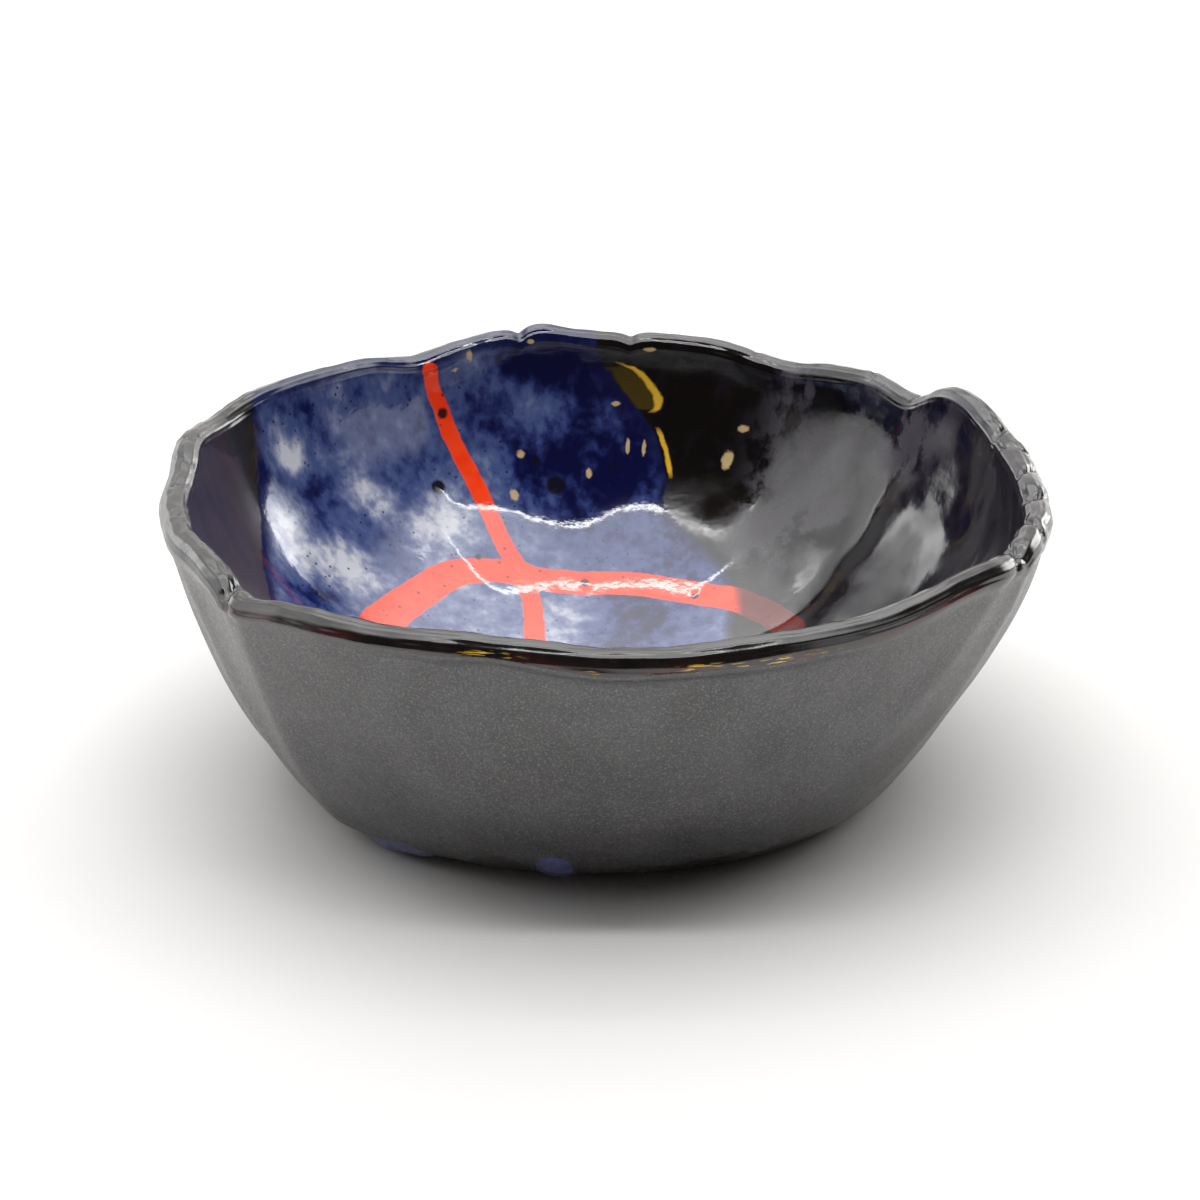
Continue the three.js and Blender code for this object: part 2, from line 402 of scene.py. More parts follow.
def layers(points, sizes, seed):
    return sum(height * lumps(points, size, seed + i) for i, (size, height) in enumerate(sizes))


def wall_spot(theta, level, foot_level, spot):
    """Distance from a place on the outer wall, 1 at the edge of the spot's oval."""
    at, share, half_width, half_height = spot[:4]
    radius, height = outer_wall(np.array([[float(at)]]), np.linspace(0, share, 40)[None, :])
    up_the_wall = np.hypot(np.diff(radius), np.diff(height)).sum()
    across = np.radians(away(theta, at)) * (BASE_RADIUS + (RIM_RADIUS - BASE_RADIUS) * share)
    return np.hypot(across / half_width, (foot_level - level - up_the_wall) / half_height)


def wall_tilts(theta, height):
    total = 0
    for at, middle, lean, width, reach in WALL_TILTS:
        up = height - middle
        total = total + math.radians(lean) * up * bump(up, reach) * bump(away(theta, at), width)
    return total * smooth(height - FLOOR_HEIGHT, 0.3, 2.5)


def crack_depth(theta, level, radius):
    total = 0
    for at, lean, half_width, depth, outside, inside in CRACKS:
        across = np.radians(away(theta, at + lean * level)) * radius
        reach = np.where(level > 0, bump(level, outside / 2), bump(level, inside / 2))
        total = total + depth * np.exp(-np.abs(across) / half_width) * reach
    return total


def pit_depth(points):
    hollow = 0
    dark = 0
    for at, radius, half_width, depth in PITS:
        distance = np.linalg.norm(points - inside_points([(at, radius)])[0], axis=-1)
        hollow = hollow + depth * bump(distance, half_width / 1.6)
        dark = np.maximum(dark, bump(distance, half_width / 1.5))
    return hollow, dark


# Places on the inside
def inside_points(places):
    """Points on the inner surface under polar places."""
    theta = np.array([float(at) for at, _ in places])
    radius = np.array([float(r) for _, r in places])
    across, deep, lean = inner_curve(theta)
    turn = np.arccos(np.clip((radius - FLOOR_RADIUS) / across, 0, math.cos(lean)))
    height = FLOOR_HEIGHT + deep * (1 - np.sin(turn))
    return to_points(theta, radius, height)


def curve_through(corners, per_span=14, closed=False):
    """Smooth path through some points, as a dense row of points."""
    corners = np.asarray(corners, float)
    if closed:
        padded = np.concatenate([corners[-1:], corners, corners[:2]])
    else:
        before = 2 * corners[:1] - corners[1:2]
        after = 2 * corners[-1:] - corners[-2:-1]
        padded = np.concatenate([before, corners, after])
    t = (np.arange(per_span) / per_span)[:, None]
    path = []
    for a, b, c, d in zip(padded, padded[1:], padded[2:], padded[3:]):
        path.append(0.5 * (2 * b + (c - a) * t + (2 * a - 5 * b + 4 * c - d) * t ** 2
                           + (3 * b - a - 3 * c + d) * t ** 3))
    if not closed:
        path.append(corners[-1:])
    return np.concatenate(path)


def plan(places):
    """Polar places as flat x, y positions."""
    theta = np.radians([float(at) for at, _ in places])
    radius = np.array([float(r) for _, r in places])
    return np.stack([radius * np.cos(theta), radius * np.sin(theta)], axis=-1)


def polar(flat):
    return list(zip(np.degrees(np.arctan2(flat[:, 1], flat[:, 0])), np.hypot(flat[:, 0], flat[:, 1])))


def stripe_field(points, stripes):
    """Millimetres inside the edge of the nearest stripe."""
    best = np.full(points.shape[:-1], -99.0)
    flat = points.reshape(-1, 3)
    for stripe in stripes:
        path = inside_points(polar(curve_through(plan(stripe["path"]))))
        half_widths = np.linspace(*stripe["wide"], len(path))
        for centre, half in zip(path, half_widths):
            inside = half - np.linalg.norm(flat - centre, axis=-1).reshape(best.shape)
            best = np.maximum(best, inside)
    return best


def blue_field(points):
    """Millimetres inside the edge of the blue glaze, seen from above."""
    edge = curve_through(plan(BLUE_EDGE), per_span=8, closed=True)
    flat = points.reshape(-1, 3)[:, :2]
    nearest = np.full(len(flat), 1e9)
    crossings = np.zeros(len(flat), int)
    for start, end in zip(edge, np.roll(edge, -1, axis=0)):
        along = end - start
        t = np.clip(((flat - start) @ along) / (along @ along), 0, 1)
        nearest = np.minimum(nearest, np.linalg.norm(flat - start - t[:, None] * along, axis=1))
        spans = (start[1] > flat[:, 1]) != (end[1] > flat[:, 1])
        if along[1] != 0:
            crossings += spans & (flat[:, 0] < start[0] + (flat[:, 1] - start[1]) / along[1] * along[0])
    return np.where(crossings % 2 == 1, nearest, -nearest).reshape(points.shape[:-1])


def cloud_field(points):
    """How pale the blue glaze is: about 1 in its clouds, about -1 in its deepest pools."""
    pale = 0
    for sign, spots in ((1, PALE_CLOUDS), (-1, COBALT_POOLS)):
        for at, radius, size, strength in spots:
            distance = np.linalg.norm(points - inside_points([(at, radius)])[0], axis=-1)
            pale = pale + sign * strength * bump(distance, size * 0.8)
    return pale


def reflection_wide_part(height):
    """Width of the wide olive part of the painted amber reflection by height, as a share of its greatest."""
    return np.sqrt(np.clip(1 - ((height - AMBER_REFLECTION_WIDE[0]) / AMBER_REFLECTION_WIDE[1]) ** 2, 0, 1))


def amber_reflection_mask(theta, height):
    beside = bump(away(theta, AMBER_MIDDLE[0]), AMBER_MIDDLE[1])
    sliver = smooth(-np.abs(height - AMBER_SLIVER[0]), -AMBER_SLIVER[1], -AMBER_SLIVER[1] + 1.0)
    return np.maximum(smooth(reflection_wide_part(height), 0.1, 0.4), sliver) * smooth(beside, 0.2, 0.4)


def grey_sheen_patch(theta, height):
    right_edge = np.interp(height, GREY_HEIGHTS, GREY_RIGHT_EDGE)
    within = smooth(away(theta, right_edge), -3, 5) * smooth(-away(theta, GREY_LEFT_EDGE), 0, 8)
    return within * smooth(height, GREY_HEIGHTS[0] - 4, GREY_HEIGHTS[0] + 2)


def side_patch(theta, height, patch):
    middle, half_width, start, strength = patch
    beside = smooth(-np.abs(away(theta, middle)), -half_width, -half_width + 8)
    return strength * beside * smooth(height, start, start + 6)


def tan_glint_field(points):
    """How far inside the nearest painted tan glint: 1 at its middle, 0 at its edge."""
    best = np.full(points.shape[:-1], -9.0)
    for at, radius, half_width, half_height in TAN_GLINTS:
        offset = points - inside_points([(at, radius)])[0]
        turn = np.radians(at)
        across = offset @ np.array([-np.sin(turn), np.cos(turn), 0])
        through = offset @ np.array([np.cos(turn), np.sin(turn), 0])
        away_from_it = np.hypot(across / half_width, offset[..., 2] / half_height)
        best = np.maximum(best, 1 - np.hypot(away_from_it, through / GLINT_REACH))
    return best


# The bowl's mesh
def bowl_faces(count, rows):
    """Quads of the grid, then the two fans that close the base and the floor."""
    here = np.arange(count)
    after = (here + 1) % count
    row = np.arange(rows - 1)
    a = here[:, None] * rows + row
    b = after[:, None] * rows + row
    quads = np.stack([a, b, b + 1, a + 1], axis=-1).reshape(-1, 4).tolist()
    base, floor = count * rows, count * rows + 1
    fans = [(base, int(j) * rows, int(i) * rows) for i, j in zip(here, after)]
    fans += [(floor, int(i) * rows + rows - 1, int(j) * rows + rows - 1) for i, j in zip(here, after)]
    return quads + fans


def add_field(mesh, name, values):
    field = mesh.attributes.new(name, "FLOAT", "POINT")
    field.data.foreach_set("value", np.ascontiguousarray(values, dtype=np.float32))


def hand_relief(theta, level, height, foot_level, points):
    """How far the hand-worked surface stands out from the smooth one, in millimetres."""
    outside = smooth(level, *OUTSIDE_STARTS) * smooth(foot_level - level, -1.0, 6.0)
    inside = smooth(-level, *INSIDE_STARTS)
    right_wall = bump(away(theta, RIGHT_WALL[0]), RIGHT_WALL[1]) * inside
    right_lip = bump(away(theta, RIGHT_LIP[0]), RIGHT_LIP[1]) * bump(level, RIGHT_LIP[2])
    left_lip = bump(away(theta, LEFT_LIP[0]), LEFT_LIP[1]) * bump(level, LEFT_LIP[2])
    ridge_spacing, ridge_height = LIP_RIDGES
    wander = RIDGE_WANDER * lumps(points, 14.0, 31)
    ridges = ridge_height * np.cos(2 * np.pi * (level / ridge_spacing + wander))
    push = outside * layers(points, OUTER_WAVES, 1) + inside * layers(points, INNER_DIMPLES, 4)
    push = push + right_wall * layers(points, RIGHT_DIMPLES, 21)
    push = push + bump(level, LIP_REACH) * layers(points, LIP_LUMPS, 7)
    push = push + right_lip * layers(points, RIGHT_BEADS, 25)
    push = push + left_lip * layers(points, LEFT_PEBBLES, 33)
    return push + ridges * smooth(-np.abs(level), -4.5, -3.5) + inside * wall_tilts(theta, height), inside


def spots_within(theta, level, foot_level, points, spots, roughness, size, seed):
    """How far inside each spot of the outer wall, with an uneven edge: 1 at its middle, 0 at its edge."""
    for spot in spots:
        yield spot, 1 - wall_spot(theta, level, foot_level, spot) + roughness * lumps(points, size, seed)


def glaze_fields(theta, level, height, radius, foot_level, points):
    """Values for the material at every grid point."""
    brown = np.zeros_like(level)
    for _, within in spots_within(theta, level, foot_level, points, FOOT_PATCHES, 0.35, 4.0, 17):
        brown = np.maximum(brown, smooth(within, -0.1, 0.5))
    gloss_edge = LIP_WIDTH / 2 * (math.pi / 2 - roll_lean(theta)) + roll_height(theta) + GLOSS_UNDER
    satin = sum(depth * bump(away(theta, at), width) for at, depth, width in SATIN_INSIDE)
    # Where the painted gold glints go
    gold_glint = sum(bump(away(theta, at), width) for at, width in GOLD_GLINT_PLACES) * smooth(level, 1.6, 2.2)
    return {
        "level": level,
        "gloss": gloss_edge - level + 0.15 * lumps(points, 5.0, 11),
        "brown": brown,
        "gold_glint": gold_glint,
        "inner": INNER_STARTS - satin - level,
        "satin_lip": bump(away(theta, SATIN_LIP[0]), SATIN_LIP[1]) + 0 * level,
        "foot": level - foot_level,
        "crack": crack_depth(theta, level, radius),
        "band": np.where(level < 1, stripe_field(points, BANDS), NOWHERE),
        "blue": np.where(level < 1.5, blue_field(points), NOWHERE),
        "cloud": cloud_field(points),
        "tan_glint": np.where(level < 1, tan_glint_field(points), NOWHERE),
        # Painted amber reflection: its width, where it shows, and its olive part
        "amber_width": AMBER_SLIVER[2] + AMBER_REFLECTION_WIDE[2] * reflection_wide_part(height),
        "amber": amber_reflection_mask(theta, height),
        "olive": reflection_wide_part(height),
        "grey_sheen": grey_sheen_patch(theta, height),
        "violet": sum(side_patch(theta, height, patch) for patch in VIOLET_INSIDE),
    }


def make_bowl():
    theta = grid_angles()[:, None]
    radius, height = bowl_grid(theta)
    smooth_points = to_points(theta, radius, height)
    normals = grid_normals(smooth_points)
    level = profile_level(radius, height)
    foot_level = level[:, BASE_ROWS - 1:BASE_ROWS]
    fields = glaze_fields(theta, level, height, radius, foot_level, smooth_points)

    push, inside = hand_relief(theta, level, height, foot_level, smooth_points)
    fields["drip"] = np.full_like(level, NOWHERE)
    for spot, within in spots_within(theta, level, foot_level, smooth_points, DRIPS, 0.25, 2.5, 13):
        push = push + spot[4] * np.sqrt(smooth(within, 0.0, 0.9))
        fields["drip"] = np.maximum(fields["drip"], within)
    hollow, fields["pit"] = pit_depth(smooth_points)
    push = push - hollow * inside - fields["crack"]
    push = push * smooth(foot_level - level, -0.5, 1.5)

    points = smooth_points + normals * push[..., None]
    points[..., 2] = np.maximum(points[..., 2], 0.0)
    middle = (smooth_points.min(axis=(0, 1)) + smooth_points.max(axis=(0, 1))) / 2
    middle[2] = 0.0
    closing = np.array([[0, 0, 0], [0, 0, points[:, -1, 2].mean()]], float)
    vertices = (np.concatenate([points.reshape(-1, 3), closing]) - middle) * MM

    mesh = bpy.data.meshes.new("tea_bowl")
    mesh.from_pydata(vertices.tolist(), [], bowl_faces(*level.shape))
    for name, values in fields.items():
        ends = [values[:, 0].mean(), values[:, -1].mean()]
        add_field(mesh, name, np.concatenate([values.reshape(-1), ends]))
    mesh.polygons.foreach_set("use_smooth", [True] * len(mesh.polygons))
    mesh.update()
    bowl = bpy.data.objects.new("tea_bowl", mesh)
    bpy.context.scene.collection.objects.link(bowl)
    return bowl


# Materials
class Nodes:
    """A node tree, with short ways to add nodes and wire them up."""

    def __init__(self, tree):
        self.tree = tree

    def add(self, kind, **settings):
        node = self.tree.nodes.new(kind)
        for name, value in settings.items():
            setattr(node, name, value)
        return node

    def feed(self, socket, value):
        if isinstance(value, bpy.types.NodeSocket):
            self.tree.links.new(value, socket)
        else:
            socket.default_value = value

    def math(self, operation, first, second=0.0):
        node = self.add("ShaderNodeMath", operation=operation)
        self.feed(node.inputs[0], first)
        self.feed(node.inputs[1], second)
        return node.outputs[0]

    def ramp(self, value, low, high, start=0.0, end=1.0):
        """Smooth step from start to end as the value goes from low to high."""
        node = self.add("ShaderNodeMapRange", interpolation_type="SMOOTHSTEP")
        for socket, given in zip(node.inputs, (value, low, high, start, end)):
            self.feed(socket, given)
        return node.outputs["Result"]


class Shader(Nodes):
    """One material, with its patterns."""

    def __init__(self, name):
        self.material = bpy.data.materials.new(name)
        self.material.use_nodes = True
        super().__init__(self.material.node_tree)
        self.surface = self.tree.nodes["Principled BSDF"]
        self.place = self.add("ShaderNodeTexCoord").outputs["Object"]

    def field(self, name):
        return self.add("ShaderNodeAttribute", attribute_name=name).outputs["Fac"]

    def noise(self, size, detail=2.0, rough=0.5, stretch=(1, 1, 1), offset=0.0):
        """Cloudy noise from 0 to 1 with features of one size in millimetres."""
        mapping = self.add("ShaderNodeMapping")
        self.feed(mapping.inputs["Vector"], self.place)
        mapping.inputs["Scale"].default_value = [1 / s for s in stretch]
        mapping.inputs["Location"].default_value = (offset, offset * 0.7, offset * 0.3)
        node = self.add("ShaderNodeTexNoise")
        self.feed(node.inputs["Vector"], mapping.outputs["Vector"])
        node.inputs["Scale"].default_value = 1 / (size * MM)
        node.inputs["Detail"].default_value = detail
        node.inputs["Roughness"].default_value = rough
        return node.outputs["Fac"]

    def specks(self, size, offset=0.0):
        """Distance from scattered points, about one to each cell of this size in millimetres."""
        mapping = self.add("ShaderNodeMapping")
        self.feed(mapping.inputs["Vector"], self.place)
        mapping.inputs["Location"].default_value = (offset, offset, offset)
        node = self.add("ShaderNodeTexVoronoi")
        self.feed(node.inputs["Vector"], mapping.outputs["Vector"])
        node.inputs["Scale"].default_value = 1 / (size * MM)
        return node.outputs["Distance"]

    def mix(self, amount, first, second):
        node = self.add("ShaderNodeMix", data_type="RGBA")
        self.feed(node.inputs["Factor"], amount)
        self.feed(node.inputs[6], first)
        self.feed(node.inputs[7], second)
        return node.outputs[2]

    def blend(self, amount, first, second):
        node = self.add("ShaderNodeMix", data_type="FLOAT")
        self.feed(node.inputs["Factor"], amount)
        self.feed(node.inputs[2], first)
        self.feed(node.inputs[3], second)
        return node.outputs[0]

    def ragged(self, field, size, amount, offset=0.0):
        """A field whose edge wanders by some millimetres."""
        wander = self.math("MULTIPLY_ADD", self.noise(size, 3.0, 0.6, offset=offset), amount)
        wander.node.inputs[2].default_value = -0.5 * amount
        return self.math("ADD", field, wander)

    def bump(self, height, distance, strength=1.0):
        node = self.add("ShaderNodeBump")
        node.inputs["Distance"].default_value = distance * MM
        node.inputs["Strength"].default_value = strength
        self.feed(node.inputs["Height"], height)
        return node.outputs["Normal"]


def outside_colour(s):
    cloudy = s.ramp(s.noise(11.0, 4.0, 0.6), 0.3, 0.7)
    colour = s.mix(cloudy, display(29, 28, 30), display(60, 59, 61))
    warm = s.ramp(s.noise(13.0, 3.0, 0.6, offset=3.1), 0.5, 0.75, 0.0, 0.5)
    colour = s.mix(warm, colour, display(44, 38, 36))
    crystals = s.ramp(s.noise(0.30, 3.0, 0.6), 0.46, 0.74, 0.0, 0.75)
    colour = s.mix(crystals, colour, display(120, 119, 120))
    grit = s.ramp(s.noise(0.7, 2.0, 0.6, offset=5.0), 0.54, 0.70, 0.0, 0.7)
    return s.mix(grit, colour, display(18, 17, 18))


def blue_colour(s):
    broad = s.ramp(s.noise(8.0, 3.0, 0.55, (1, 1, 1.3)), 0.25, 0.75, -0.5, 0.5)
    tone = s.math("ADD", s.field("cloud"), broad)
    tone = s.math("ADD", tone, s.ramp(s.noise(2.0, 3.0, 0.55, (1, 1, 1.4), 2.0), 0.25, 0.75, -0.4, 0.4))
    colour = s.mix(s.ramp(tone, -1.3, -0.4), display(2, 6, 54), display(36, 48, 104))
    colour = s.mix(s.ramp(tone, -0.8, 0.0), colour, display(70, 85, 132))
    colour = s.mix(s.ramp(tone, -0.1, 0.8), colour, display(120, 129, 162))
    colour = s.mix(s.ramp(tone, 0.5, 1.5), colour, display(200, 203, 212))
    edge = s.ramp(s.field("blue"), 0.3, 2.2, 0.9, 0.0)
    edge = s.math("MAXIMUM", edge, s.ramp(s.ragged(s.field("level"), 3.0, 1.5, 4.1), -4.0, -2.0, 0.0, 0.92))
    colour = s.mix(edge, colour, display(8, 13, 58))
    freckles = s.math("MULTIPLY", s.ramp(s.specks(1.5), 0.10, 0.22, 0.85, 0.0),
                      s.ramp(s.noise(6.0, 2.0, offset=7.0), 0.42, 0.58))
    return s.mix(freckles, colour, display(16, 22, 60))


def orange_colour(s):
    shade = s.ramp(s.noise(4.0, 3.0, 0.6, offset=1.3), 0.3, 0.7)
    colour = s.mix(shade, display(248, 56, 14), display(252, 72, 28))
    freckles = s.ramp(s.specks(2.4, 4.0), 0.09, 0.17, 0.8, 0.0)
    return s.mix(freckles, colour, display(96, 30, 26))


def black_colour(s, grey_sheen):
    olive = s.ramp(s.noise(8.0, 3.0, 0.6, offset=6.0), 0.45, 0.75, 0.0, 0.8)
    colour = s.mix(olive, display(6, 4, 6), display(17, 13, 8))
    violet = s.ramp(s.noise(3.0, 4.0, 0.65, (1, 1, 3.0), 8.0), 0.5, 0.7, 0.0, 0.6)
    colour = s.mix(violet, colour, display(24, 19, 32))
    brushed = s.ramp(s.noise(2.5, 4.0, 0.65, (1, 1, 3.5), 5.7), 0.35, 0.65, 0.35, 1.0)
    colour = s.mix(s.math("MULTIPLY", s.field("violet"), brushed), colour, display(46, 41, 54))
    # Painted sheen: lighter grey where the satin patch reflects the room
    return s.mix(grey_sheen, colour, display(54, 51, 58))


def lip_colour(s):
    shade = s.ramp(s.noise(2.2, 3.0, 0.6, offset=9.0), 0.35, 0.7)
    colour = s.mix(shade, display(10, 7, 8), display(24, 20, 20))
    maroon = s.math("MULTIPLY", s.ramp(s.field("gloss"), 0.2, 1.5, 0.8, 0.0),
                    s.ramp(s.noise(9.0, 2.0, offset=2.5), 0.42, 0.6))
    colour = s.mix(maroon, colour, display(66, 20, 20))
    # Painted reflection: thin gold glints along the underside of the lip at the front
    streaks = s.ramp(s.noise(0.25, 2.0, 0.5, (12, 4, 1), 4.4), 0.55, 0.62)
    near_edge = s.ramp(s.field("gloss"), 0.7, 1.1, 1.0, 0.0)
    low_edge = s.math("MULTIPLY", s.ramp(s.field("gloss"), 0.1, 0.3), near_edge)
    streaks = s.math("MULTIPLY", streaks, low_edge)
    return s.mix(s.math("MULTIPLY", streaks, s.field("gold_glint")), colour, display(214, 176, 70))


def painted_amber_reflection(s, under, blue_edge):
    """Painted reflection of a warm thing outside the edge of the blue: an olive part, and a bright amber line
    along its own edge.
    """
    to_line = s.math("ADD", blue_edge, s.field("amber_width"))
    olive_part = s.math("MULTIPLY", s.ramp(to_line, 0.0, 0.4), s.ramp(blue_edge, -0.1, 0.3, 1.0, 0.0))
    olive_part = s.math("MULTIPLY", olive_part, s.ramp(s.field("olive"), 0.2, 0.6))
    colour = s.mix(s.math("MULTIPLY", olive_part, s.field("amber")), under, display(66, 54, 14))
    line = s.ramp(s.math("ABSOLUTE", to_line), 0.15, 0.45, 1.0, 0.0)
    return s.mix(s.math("MULTIPLY", line, s.field("amber")), colour, display(216, 172, 48))


def glaze_material():
    s = Shader("bowl_glaze")
    blue_edge = s.ragged(s.field("blue"), 5.0, 1.2)
    blue = s.ramp(blue_edge, -0.15, 0.35)
    band = s.ramp(s.ragged(s.field("band"), 3.0, 0.8, 1.0), -0.12, 0.22)
    drip = s.ramp(s.field("drip"), 0.02, 0.12)
    foot = s.ramp(s.ragged(s.field("foot"), 4.0, 2.0, 3.0), -0.2, 0.4)
    gloss = s.ramp(s.ragged(s.field("gloss"), 2.0, 0.3, 5.0), -0.1, 0.2)
    gloss = s.math("MULTIPLY", gloss, s.ramp(s.field("satin_lip"), 0.2, 0.5, 1.0, 0.0))
    over_lip = s.math("MULTIPLY", blue, s.ramp(s.field("level"), -0.6, 0.2, 1.0, 0.0))
    is_inside = s.math("MAXIMUM", s.ramp(s.ragged(s.field("inner"), 3.0, 1.2, 6.0), -0.4, 0.4), over_lip)

    # Satin patch on the right inside: rougher, with a painted grey sheen in its colour
    patches = s.ramp(s.noise(6.0, 5.0, 0.65, (1, 1, 1.5), 8.8), 0.43, 0.57)
    grey_sheen = s.math("MULTIPLY", s.field("grey_sheen"), patches)
    inner = s.mix(blue, black_colour(s, grey_sheen), blue_colour(s))
    band_shown = s.math("MULTIPLY", band, s.ramp(blue_edge, -1.6, 0.6, 0.14, 1.0))
    inner = s.mix(band_shown, inner, orange_colour(s))
    # Painted reflection: amber line and olive part at the edge of the blue
    inner = painted_amber_reflection(s, inner, blue_edge)
    # Painted reflection: tan glints of a warm thing on the upper inner wall
    tan_glint = s.ramp(s.ragged(s.field("tan_glint"), 1.0, 0.7, 5.5), 0.1, 0.5, 0.0, 0.9)
    inner = s.mix(tan_glint, inner, display(196, 172, 124))

    outer = s.mix(s.ramp(s.field("level"), 2.0, 6.0, 0.75, 0.0), outside_colour(s), display(20, 17, 17))
    outer = s.mix(s.field("brown"), outer, display(22, 13, 13))
    outer = s.mix(gloss, outer, lip_colour(s))
    outer = s.mix(drip, outer, s.mix(s.noise(1.5, 3.0), display(34, 38, 84), display(92, 96, 136)))
    colour = s.mix(is_inside, outer, inner)
    colour = s.mix(s.ramp(s.field("pit"), 0.3, 0.65, 0.0, 0.95), colour, display(10, 11, 24))
    colour = s.mix(s.ramp(s.field("crack"), 0.2, 0.6, 0.0, 0.85), colour, display(12, 10, 10))
    clay = s.mix(s.ramp(s.noise(1.0, 4.0, 0.65), 0.3, 0.7), display(64, 56, 52), display(92, 82, 76))
    colour = s.mix(foot, colour, clay)
    s.feed(s.surface.inputs["Base Color"], colour)

    satin = s.ramp(s.noise(0.8, 3.0, 0.6, offset=1.7), 0.3, 0.7, 0.30, 0.42)
    satin = s.blend(s.ramp(s.field("level"), 3.0, 6.0, 1.0, 0.0), satin, 0.22)
    shine = s.blend(s.math("MAXIMUM", gloss, s.math("MAXIMUM", drip, s.field("brown"))), satin, 0.15)
    matt = s.math("MAXIMUM", grey_sheen, s.ramp(s.field("violet"), 0.5, 0.9))
    black_shine = s.ramp(s.noise(5.0, 3.0, 0.6, offset=2.9), 0.3, 0.7, 0.08, 0.16)
    wet = s.blend(blue, s.blend(matt, black_shine, 0.3), 0.07)
    shine = s.blend(is_inside, shine, wet)
    s.feed(s.surface.inputs["Roughness"], s.blend(foot, shine, 0.85))
    s.surface.inputs["IOR"].default_value = 1.9

    tooth = s.math("MULTIPLY", s.noise(0.5, 3.0, 0.6, offset=0.9), s.math("SUBTRACT", 1.0, gloss))
    tooth = s.math("MULTIPLY", tooth, s.math("SUBTRACT", 1.0, is_inside))
    ripples = s.math("MULTIPLY", s.noise(2.4, 3.0, 0.55, offset=3.7), 0.35)
    s.feed(s.surface.inputs["Normal"], s.bump(s.math("ADD", s.math("MULTIPLY", tooth, 0.6), ripples), 0.09))
    return s.material


def floor_material():
    s = Shader("pale_floor")
    colour = s.mix(s.noise(160.0, 3.0), display(232, 231, 229), display(240, 239, 238))
    s.feed(s.surface.inputs["Base Color"], colour)
    s.surface.inputs["Roughness"].default_value = 0.65
    s.surface.inputs["Specular IOR Level"].default_value = 0.2
    return s.material


# Stage, lights and camera
SWEEP_HALF_WIDTH = 3.0
SWEEP_FRONT = -3.0
SWEEP_BACK = 0.7
SWEEP_HEIGHT = 3.0
SWEEP_BEND = 0.5
BEND_STEPS = 24


# Lights that don't show in reflections: name, place, width and depth, brightness.
# The front one lights only the bowl.
FILL_PANELS = [
    ("overhead_fill", (0.0, -0.21, 0.93), (1.0, 0.08), 15.0),
    ("left_fill", (-0.80, 0.0, 0.80), (0.8, 0.8), 1.2),
    ("right_fill", (0.80, 0.0, 0.80), (0.8, 0.8), 1.7),
    ("front_fill", (0.0, -1.0, 0.70), (1.0, 1.0), 2.6),
]


def make_floor():
    """A pale floor that curves up into a back wall."""
    turn = np.linspace(0, math.pi / 2, BEND_STEPS)
    profile = [(SWEEP_FRONT, 0.0)]
    profile += [(SWEEP_BACK + SWEEP_BEND * math.sin(a), SWEEP_BEND * (1 - math.cos(a))) for a in turn]
    profile.append((SWEEP_BACK + SWEEP_BEND, SWEEP_HEIGHT))
    vertices = [(x, y, z) for y, z in profile for x in (-SWEEP_HALF_WIDTH, SWEEP_HALF_WIDTH)]
    faces = [(2 * i, 2 * i + 1, 2 * i + 3, 2 * i + 2) for i in range(len(profile) - 1)]
    mesh = bpy.data.meshes.new("floor")
    mesh.from_pydata(vertices, [], faces)
    mesh.polygons.foreach_set("use_smooth", [True] * len(faces))
    mesh.materials.append(floor_material())
    floor = bpy.data.objects.new("floor", mesh)
    bpy.context.scene.collection.objects.link(floor)


def soften_edges(light, shares):
    """Fades a panel towards its edges, over these shares of its width and depth."""
    light.use_nodes = True
    nodes = Nodes(light.node_tree)
    split = nodes.add("ShaderNodeSeparateXYZ")
    nodes.feed(split.inputs[0], nodes.add("ShaderNodeNewGeometry").outputs["Parametric"])
    fades = []
    for along, share in zip(split.outputs, shares):
        from_middle = nodes.math("ABSOLUTE", nodes.math("SUBTRACT", along, 0.5))
        fades.append(nodes.ramp(from_middle, 0.5 - share, 0.5, 1.0, 0.0))
    nodes.feed(light.node_tree.nodes["Emission"].inputs["Strength"], nodes.math("MULTIPLY", *fades))


def add_panel(name, place, aim, size, brightness, fades):
    """A rectangular light that faces a point. Brightness is the light it shows, white being about 1."""
    width, depth = size
    light = bpy.data.lights.new(name, "AREA")
    light.shape = "RECTANGLE"
    light.size = width
    light.size_y = depth
    light.energy = brightness * math.pi * width * depth
    soften_edges(light, fades)
    panel = bpy.data.objects.new(name, light)
    panel.location = place
    panel.rotation_euler = (Vector(aim) - Vector(place)).to_track_quat("-Z", "Y").to_euler()
    bpy.context.scene.collection.objects.link(panel)
    return panel


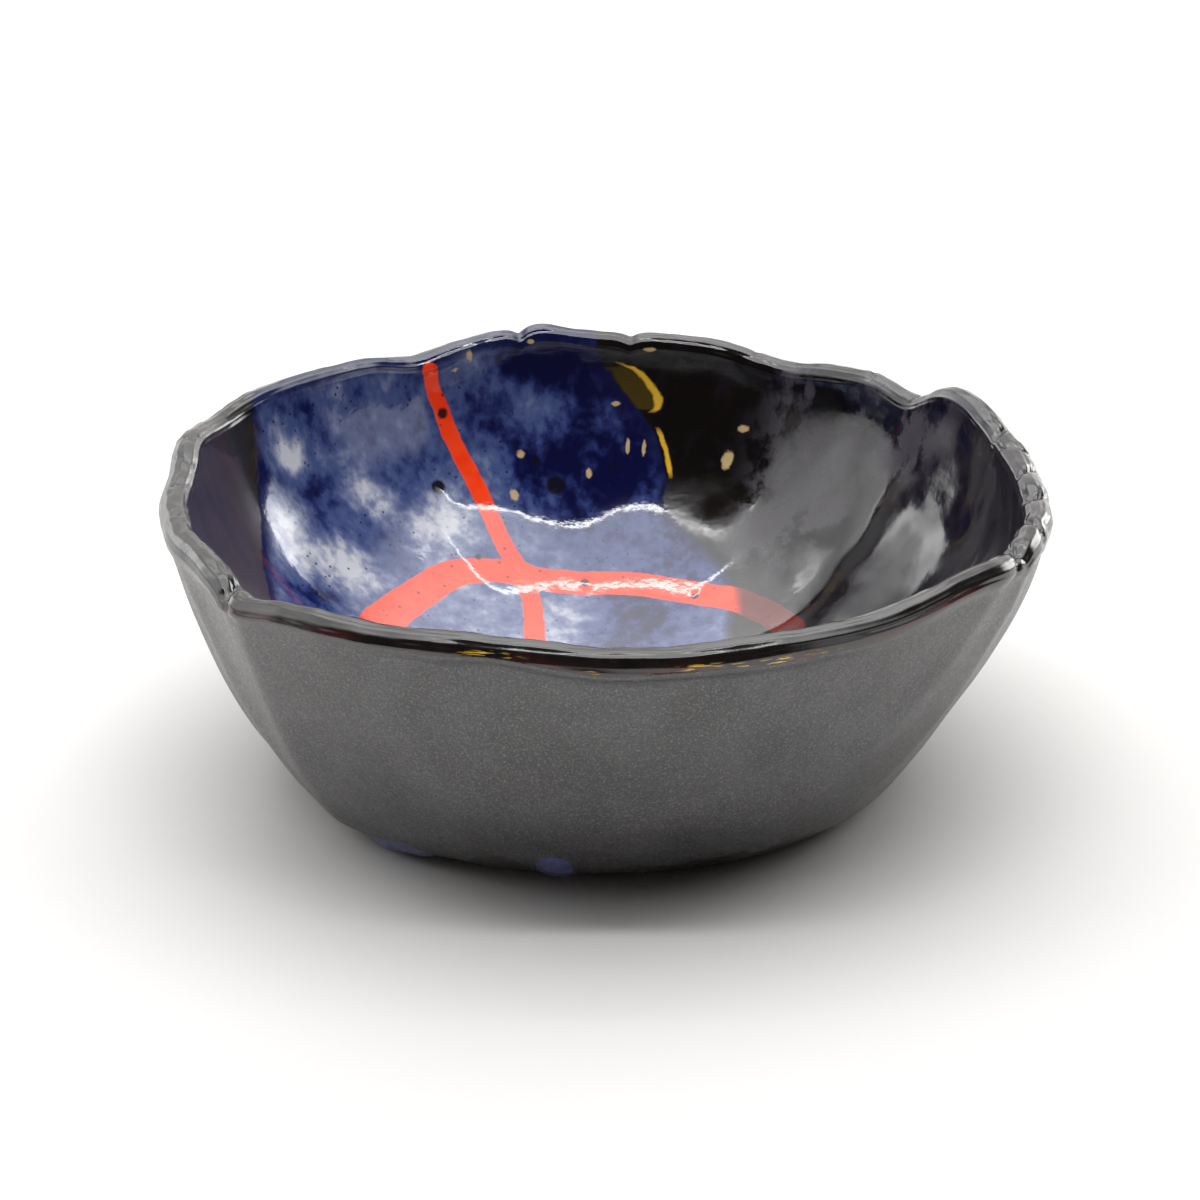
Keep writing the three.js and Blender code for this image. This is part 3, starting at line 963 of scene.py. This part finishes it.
def make_lights(bowl):
    bowl_middle = (0.0, 0.0, 0.03)
    soft = (0.3, 0.3)
    add_panel("ceiling", (0.0, 0.47, 0.97), (0.0, 0.47, 0.0), (2.2, 1.36), 2.0, (0.3, 0.02))
    add_panel("ceiling_front_line", (0.0, -0.20, 0.96), (0.0, -0.20, 0.0), (1.6, 0.03), 14.0, soft)
    add_panel("ceiling_back_line", (0.0, 0.29, 0.96), (0.0, 0.29, 0.0), (1.6, 0.04), 9.0, soft)
    add_panel("side_left", (-0.85, 0.30, 0.48), (0.0, 0.30, 0.40), (1.5, 1.1), 1.3, soft)
    add_panel("back_left", (-0.85, 0.85, 0.32), bowl_middle, (1.0, 0.6), 1.6, soft)
    add_panel("back_right", (0.85, 0.85, 0.32), bowl_middle, (1.0, 0.6), 4.5, soft)
    sheen = add_panel("right_sheen", (0.90, -0.35, 0.28), bowl_middle, (0.9, 0.6), 0.6, soft)
    sheen.visible_diffuse = False
    for name, place, size, brightness in FILL_PANELS:
        fill = add_panel(name, place, bowl_middle, size, brightness, soft)
        fill.visible_glossy = False
        if name == "front_fill":
            fill.light_linking.receiver_collection = bpy.data.collections.new("lit_by_front_fill")
            fill.light_linking.receiver_collection.objects.link(bowl)
    world = bpy.data.worlds.new("room")
    world.use_nodes = True
    world.node_tree.nodes["Background"].inputs["Color"].default_value = (1.0, 0.84, 0.7, 1.0)
    world.node_tree.nodes["Background"].inputs["Strength"].default_value = 0.035
    bpy.context.scene.world = world
    bpy.context.scene.view_settings.view_transform = "Standard"


def make_camera():
    camera = bpy.data.cameras.new("camera")
    camera.sensor_width = 36.0
    camera.lens = camera.sensor_width * FOCAL_PX / IMAGE_PX
    camera.clip_start = 0.01
    tilt = math.radians(CAMERA_ELEVATION)
    back = Vector((0.0, -math.cos(tilt), math.sin(tilt))) * CAMERA_DISTANCE
    holder = bpy.data.objects.new("camera", camera)
    holder.location = (Vector(CAMERA_TARGET) + back) * MM
    holder.rotation_euler = (math.radians(90) - tilt, 0.0, 0.0)
    bpy.context.scene.collection.objects.link(holder)
    bpy.context.scene.camera = holder


make_camera()
make_floor()
bowl = make_bowl()
bowl.data.materials.append(glaze_material())
make_lights(bowl)
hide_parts("bowl")
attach(bowl, "root")
